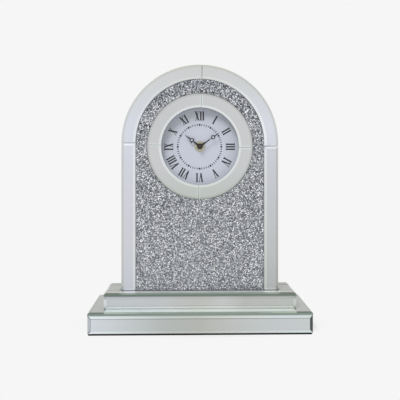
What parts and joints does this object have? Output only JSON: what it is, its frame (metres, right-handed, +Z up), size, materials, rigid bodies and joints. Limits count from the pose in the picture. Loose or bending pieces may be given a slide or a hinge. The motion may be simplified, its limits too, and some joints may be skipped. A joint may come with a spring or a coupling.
{
  "type": "beehive shelf clock",
  "caption": "Round-topped shelf clock with a crushed-glass face in bevelled mirror strips, on a stepped mirrored plinth, with roman dial and a quartz movement behind.",
  "frame": {"origin": "middle of the underside of the base pad", "axes": "+X right as seen from the front, +Y to the back, +Z up"},
  "size_m": [0.3, 0.112, 0.365],
  "materials": {
    "mirror": "polished, bevelled, silvered on the back",
    "crushed_glass": "silver crushed glass under clear resin",
    "board_silver": "fibreboard with silver-painted edges",
    "board_black": "fibreboard painted matt black",
    "pad": "matt black foam",
    "dial_face": "satin off-white with printed numerals",
    "brass_stack": "satin",
    "hand_black": "satin black",
    "case_plastic": "moulded, fine grain",
    "knob_plastic": "moulded",
    "gear_plastic": "moulded acetal",
    "magnet": "ferrite, ground",
    "motor_steel": "pressed",
    "copper": "enamelled copper wire",
    "circuit": "green solder resist",
    "can_metal": "plated",
    "contact_metal": "nickel plated",
    "cell_jacket": "printed sleeve over a steel can"
  },
  "bodies": {
    "clock": {"arch_back_board": "board_black", "arch_body": "board_silver", "arch_mirror_left": "mirror", "arch_mirror_right": "mirror", "base_pad": "pad", "bezel_mirror_lower_left": "mirror", "bezel_mirror_lower_right": "mirror", "bezel_mirror_upper_left": "mirror", "bezel_mirror_upper_right": "mirror", "circuit_board": "circuit", "coil": "copper", "coil_core": "motor_steel", "crushed_glass_panel": "crushed_glass", "dial_plate": "dial_face", "fixing_nut": "brass_stack", "lower_core": "board_black", "lower_front_mirror": "mirror", "lower_side_mirror_left": "mirror", "lower_side_mirror_right": "mirror", "lower_top_mirror": "mirror", "movement_case": "case_plastic", "movement_cover": "case_plastic", "negative_contact": "contact_metal", "positive_contact": "contact_metal", "quartz_crystal": "can_metal", "side_mirror_left": "mirror", "side_mirror_right": "mirror", "stator": "motor_steel", "upper_core": "board_black", "upper_front_mirror": "mirror", "upper_side_mirror_left": "mirror", "upper_side_mirror_right": "mirror", "upper_top_mirror_front": "mirror", "upper_top_mirror_left": "mirror", "upper_top_mirror_rear": "mirror", "upper_top_mirror_right": "mirror"},
    "third": {"third_wheel": "gear_plastic"},
    "centre": {"centre_wheel": "gear_plastic"},
    "seconds": {"seconds_wheel": "gear_plastic"},
    "intermediate": {"intermediate_wheel": "gear_plastic"},
    "rotor": {"rotor": "magnet"},
    "motion": {"motion_wheel": "gear_plastic"},
    "setting": {"setting_pinion": "gear_plastic", "setting_knob": "knob_plastic"},
    "minute": {"minute_arbor": "gear_plastic", "minute_hand": "hand_black", "hand_nut": "hand_black"},
    "hour": {"hour_wheel": "gear_plastic", "hour_hand": "hand_black"},
    "cell": {"aa_cell": "cell_jacket"}
  },
  "joints": [
    {"name": "minute_turn", "type": "hinge", "parent": "clock", "child": "minute", "pos_m": [0, 0, 0.2516], "axis": [0, 1, 0], "continuous": true},
    {"name": "hour_turn", "type": "hinge", "parent": "clock", "child": "hour", "pos_m": [0, 0, 0.2516], "axis": [0, 1, 0], "continuous": true},
    {"name": "motion_turn", "type": "hinge", "parent": "clock", "child": "motion", "pos_m": [0.008, 0, 0.2516], "axis": [0, 1, 0], "continuous": true},
    {"name": "setting_turn", "type": "hinge", "parent": "clock", "child": "setting", "pos_m": [0.01493, 0, 0.2476], "axis": [0, 1, 0], "continuous": true},
    {"name": "seconds_turn", "type": "hinge", "parent": "clock", "child": "seconds", "pos_m": [-0.00425, 0, 0.26583], "axis": [0, 1, 0], "continuous": true},
    {"name": "third_turn", "type": "hinge", "parent": "clock", "child": "third", "pos_m": [-0.00935, 0, 0.257], "axis": [0, 1, 0], "continuous": true},
    {"name": "centre_turn", "type": "hinge", "parent": "clock", "child": "centre", "pos_m": [0, 0, 0.2516], "axis": [0, 1, 0], "continuous": true},
    {"name": "intermediate_turn", "type": "hinge", "parent": "clock", "child": "intermediate", "pos_m": [0.00415, 0, 0.26583], "axis": [0, 1, 0], "continuous": true},
    {"name": "rotor_turn", "type": "hinge", "parent": "clock", "child": "rotor", "pos_m": [0.01135, 0, 0.26583], "axis": [0, 1, 0], "continuous": true},
    {"name": "cell_slide", "type": "slide", "parent": "clock", "child": "cell", "axis": [0, 1, 0], "range_m": [0, 0.016]}
  ],
  "couplings": [
    {"joint": "hour_turn", "follows": "minute_turn", "ratio": 0.083333},
    {"joint": "motion_turn", "follows": "minute_turn", "ratio": -0.33333},
    {"joint": "setting_turn", "follows": "minute_turn", "ratio": 1},
    {"joint": "third_turn", "follows": "seconds_turn", "ratio": -0.13333},
    {"joint": "centre_turn", "follows": "seconds_turn", "ratio": 0.016667},
    {"joint": "intermediate_turn", "follows": "seconds_turn", "ratio": -6},
    {"joint": "rotor_turn", "follows": "seconds_turn", "ratio": 30}
  ]
}
